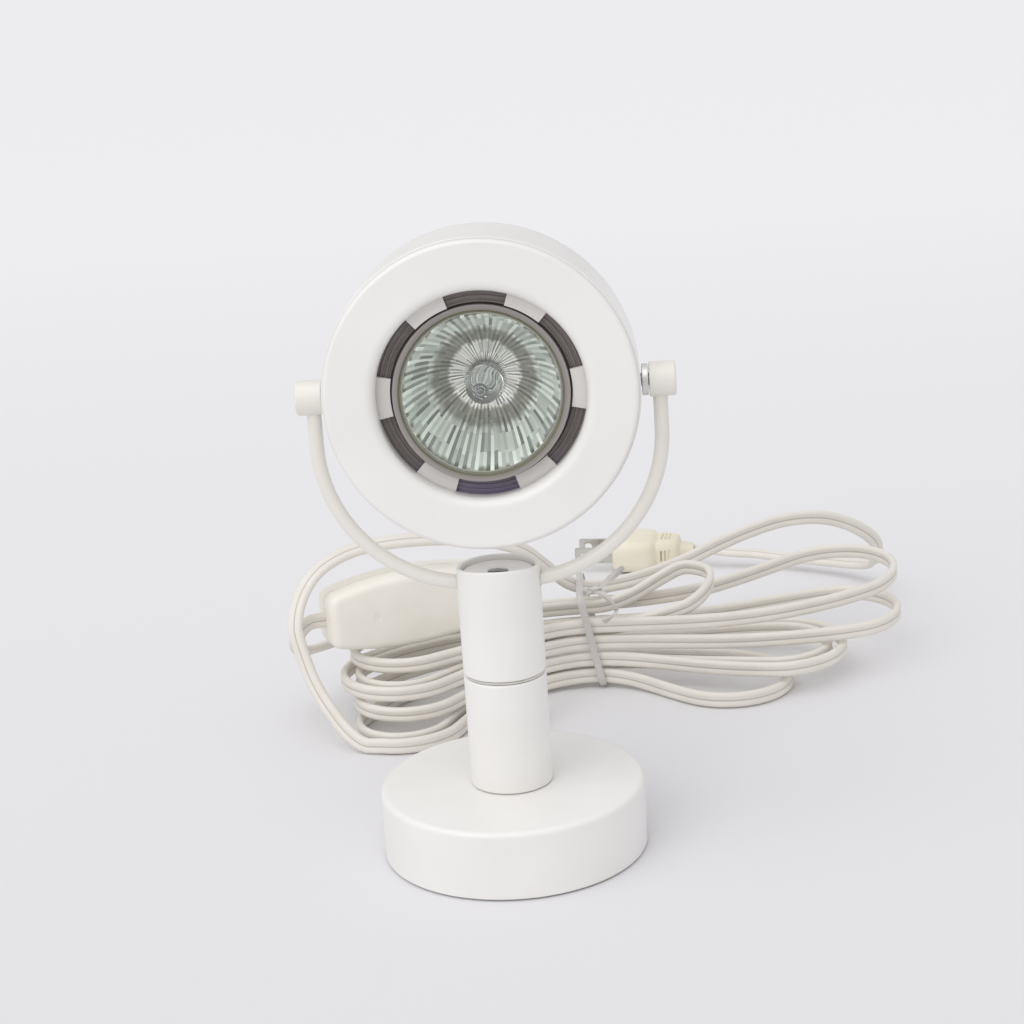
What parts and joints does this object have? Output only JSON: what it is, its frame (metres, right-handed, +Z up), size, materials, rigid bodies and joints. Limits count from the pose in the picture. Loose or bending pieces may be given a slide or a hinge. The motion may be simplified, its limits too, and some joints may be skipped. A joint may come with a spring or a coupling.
{
  "type": "bedside lamp",
  "caption": "Small spot lamp: round base, stem with a swivel joint, bent-rod yoke, tilting drum head with a reflector bulb, flat cord with inline rocker switch and flat-blade plug.",
  "frame": {"origin": "centre of the underside of the felt pad under the base, on the surface that the lamp stands on", "axes": "+Z up the stem, -Y the way the head faces in the picture, +X along the tilt axis towards the right knob"},
  "size_m": [0.2178, 0.3187, 0.186],
  "materials": {
    "white_paint": "satin powder coat",
    "ivory_paint": "satin",
    "steel": "dull",
    "zinc": "zinc plated",
    "felt": "matt",
    "cord_plastic": "soft vinyl",
    "switch_plastic": "satin",
    "plug_plastic": "satin",
    "brass": "polished",
    "ceramic": "unglazed ceramic",
    "coated_glass": "facetted, colour-shifting coating",
    "clear_glass": "clear",
    "tie_plastic": "satin"
  },
  "bodies": {
    "stand": {"base_cover": "white_paint", "base_pad": "felt", "base_plate": "zinc", "base_weight": "steel", "clamp_screw_left": "zinc", "clamp_screw_right": "zinc", "cord_clamp": "switch_plastic", "cord_gland": "cord_plastic", "cord_hank": "cord_plastic", "cord_lead": "cord_plastic", "cord_loop": "cord_plastic", "cord_tail": "cord_plastic", "plug_blade_left": "brass", "plug_blade_right": "brass", "plug_body": "plug_plastic", "rocker_pin": "steel", "rod_nut": "zinc", "rod_washer": "zinc", "stem_lower": "white_paint", "stem_rod": "zinc", "switch_back": "switch_plastic", "switch_contact": "brass", "switch_front": "switch_plastic", "switch_screw_left": "zinc", "switch_screw_right": "zinc", "swivel_nut": "zinc", "swivel_spring": "steel", "swivel_washer": "steel", "twist_tie": "tie_plastic"},
    "turret": {"stem_upper": "white_paint", "yoke_clamp": "white_paint", "yoke_screw": "steel", "yoke": "ivory_paint", "knob_left": "ivory_paint", "knob_right": "ivory_paint", "pivot_pin_left": "steel", "pivot_pin_right": "steel", "pivot_nut_left": "zinc", "pivot_nut_right": "zinc", "spacer_right": "zinc"},
    "head": {"bulb_base": "ceramic", "bulb_capsule": "clear_glass", "bulb_glass": "clear_glass", "bulb_pin_left": "zinc", "bulb_pin_right": "zinc", "bulb_reflector": "coated_glass", "head_front": "white_paint", "head_shell": "white_paint", "holder_bracket": "zinc", "holder_screw_left": "zinc", "holder_screw_right": "zinc", "retainer_ring": "white_paint", "lamp_holder": "ceramic"},
    "rocker": {"switch_rocker": "switch_plastic"}
  },
  "joints": [
    {"name": "swivel", "type": "hinge", "parent": "stand", "child": "turret", "pos_m": [0, 0, 0.0555], "axis": [0, 0, 1], "range_deg": [-170, 170]},
    {"name": "tilt", "type": "hinge", "parent": "turret", "child": "head", "pos_m": [0, 0, 0.141], "axis": [1, 0, 0], "range_deg": [-90, 90]},
    {"name": "rocker_tip", "type": "hinge", "parent": "stand", "child": "rocker", "pos_m": [-0.04169, 0.12335, 0.0385], "axis": [0, 0, 1], "range_deg": [-16, 0]}
  ]
}
